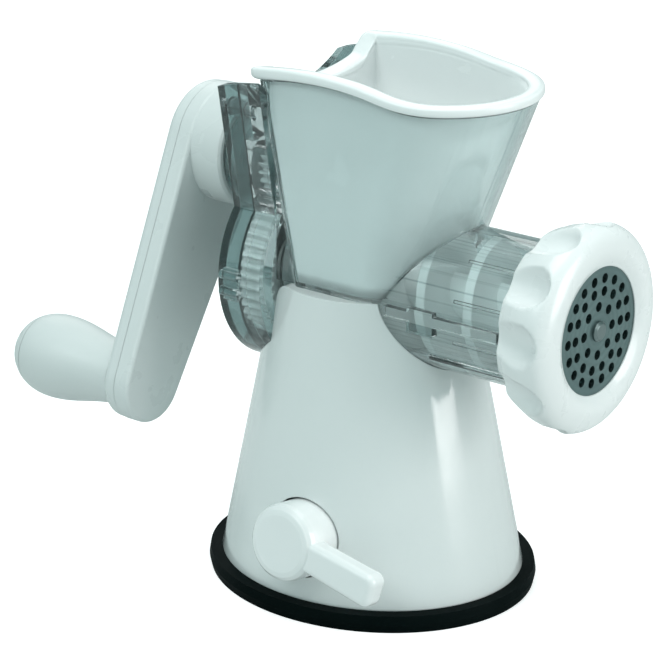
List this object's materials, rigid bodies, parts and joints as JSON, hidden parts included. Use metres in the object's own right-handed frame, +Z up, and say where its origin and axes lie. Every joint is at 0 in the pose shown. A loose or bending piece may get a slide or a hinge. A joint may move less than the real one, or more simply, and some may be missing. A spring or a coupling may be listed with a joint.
{
  "type": "hand crank meat grinder",
  "caption": "Hand crank meat grinder with a clear geared housing, a drop-in hopper, a screw-on cutting plate and an oval suction base with a lever.",
  "frame": {"origin": "middle of the suction foot on the worktop", "axes": "+X along the barrel towards the cutting plate, +Z up from the worktop, lever on the -Y side"},
  "size_m": [0.2554, 0.1303, 0.217],
  "materials": {
    "base_white": "smooth gloss moulding",
    "crank_white": "satin gloss moulding",
    "knob_white": "satin gloss moulding",
    "lever_white": "smooth gloss moulding",
    "nut_white": "smooth gloss moulding",
    "hopper_white": "smooth gloss moulding",
    "gear_white": "moulded, satin",
    "auger_white": "smooth moulding",
    "inner_plastic": "moulded, matt",
    "bush_plastic": "moulded, matt",
    "clear_housing": "clear smoky moulding",
    "clear_cover": "clear smoky moulding",
    "foot_rubber": "black, satin",
    "seal_rubber": "black, matt",
    "screw_steel": "plated",
    "shaft_steel": "ground",
    "plate_steel": "ground face with drilled holes",
    "knife_steel": "ground edges"
  },
  "bodies": {
    "stand": {"base_shell": "base_white", "base_plate": "inner_plastic", "base_screws": "screw_steel", "suction_cup": "foot_rubber", "grinder_housing": "clear_housing", "housing_screws": "screw_steel", "gear_cover": "clear_cover", "cover_screws": "screw_steel", "cover_clips": "clear_cover", "crank_bush": "bush_plastic", "auger_bush": "bush_plastic", "shaft_seal": "seal_rubber", "plate_key": "screw_steel"},
    "crank": {"crank_shaft": "shaft_steel", "crank_pinion": "gear_white", "crank_arm_inner": "crank_white", "crank_arm_outer": "crank_white", "arm_screws": "screw_steel", "crank_screw": "screw_steel", "crank_cap": "crank_white", "knob_spindle": "shaft_steel"},
    "knob": {"knob_body": "knob_white", "knob_cap": "knob_white", "knob_washer": "bush_plastic"},
    "auger_train": {"drive_shaft": "shaft_steel", "drive_gear": "gear_white", "thrust_washer": "bush_plastic", "auger": "auger_white", "auger_pin": "shaft_steel", "knife": "knife_steel"},
    "lever": {"suction_lever": "lever_white", "lever_shaft": "shaft_steel", "lever_clip": "screw_steel"},
    "cup_puller": {"cup_stem": "inner_plastic", "pull_yoke": "inner_plastic"},
    "hopper": {"hopper_insert": "hopper_white"},
    "plate": {"cutting_plate": "plate_steel"},
    "nut": {"ring_nut": "nut_white"}
  },
  "joints": [
    {"name": "crank_turn", "type": "hinge", "parent": "stand", "child": "crank", "pos_m": [0, 0, 0.16775], "axis": [1, 0, 0], "continuous": true},
    {"name": "knob_spin", "type": "hinge", "parent": "crank", "child": "knob", "pos_m": [-0.1, -0.04915, 0.07723], "axis": [1, 0, 0], "continuous": true},
    {"name": "auger_turn", "type": "hinge", "parent": "stand", "child": "auger_train", "pos_m": [0, 0, 0.1265], "axis": [1, 0, 0], "continuous": true},
    {"name": "lever_turn", "type": "hinge", "parent": "stand", "child": "lever", "pos_m": [0.005, 0, 0.0242], "axis": [0, -0.989, 0.1478], "range_deg": [0, 90]},
    {"name": "cup_pull", "type": "slide", "parent": "stand", "child": "cup_puller", "axis": [0, 0, 1], "range_m": [0, 0.00448]},
    {"name": "plate_slide", "type": "slide", "parent": "stand", "child": "plate", "axis": [1, 0, 0], "range_m": [0, 0.008]},
    {"name": "nut_turn", "type": "hinge", "parent": "plate", "child": "nut", "pos_m": [0.1, 0, 0.1265], "axis": [1, 0, 0], "range_deg": [0, 720]},
    {"name": "hopper_lift", "type": "slide", "parent": "stand", "child": "hopper", "axis": [0, 0, 1], "range_m": [0, 0.09]}
  ],
  "couplings": [
    {"joint": "auger_turn", "follows": "crank_turn", "ratio": -0.375},
    {"joint": "lever_turn", "follows": "cup_pull", "rad_per_m": 350.95},
    {"joint": "plate_slide", "follows": "nut_turn", "m_per_rad": 0.00063662}
  ]
}
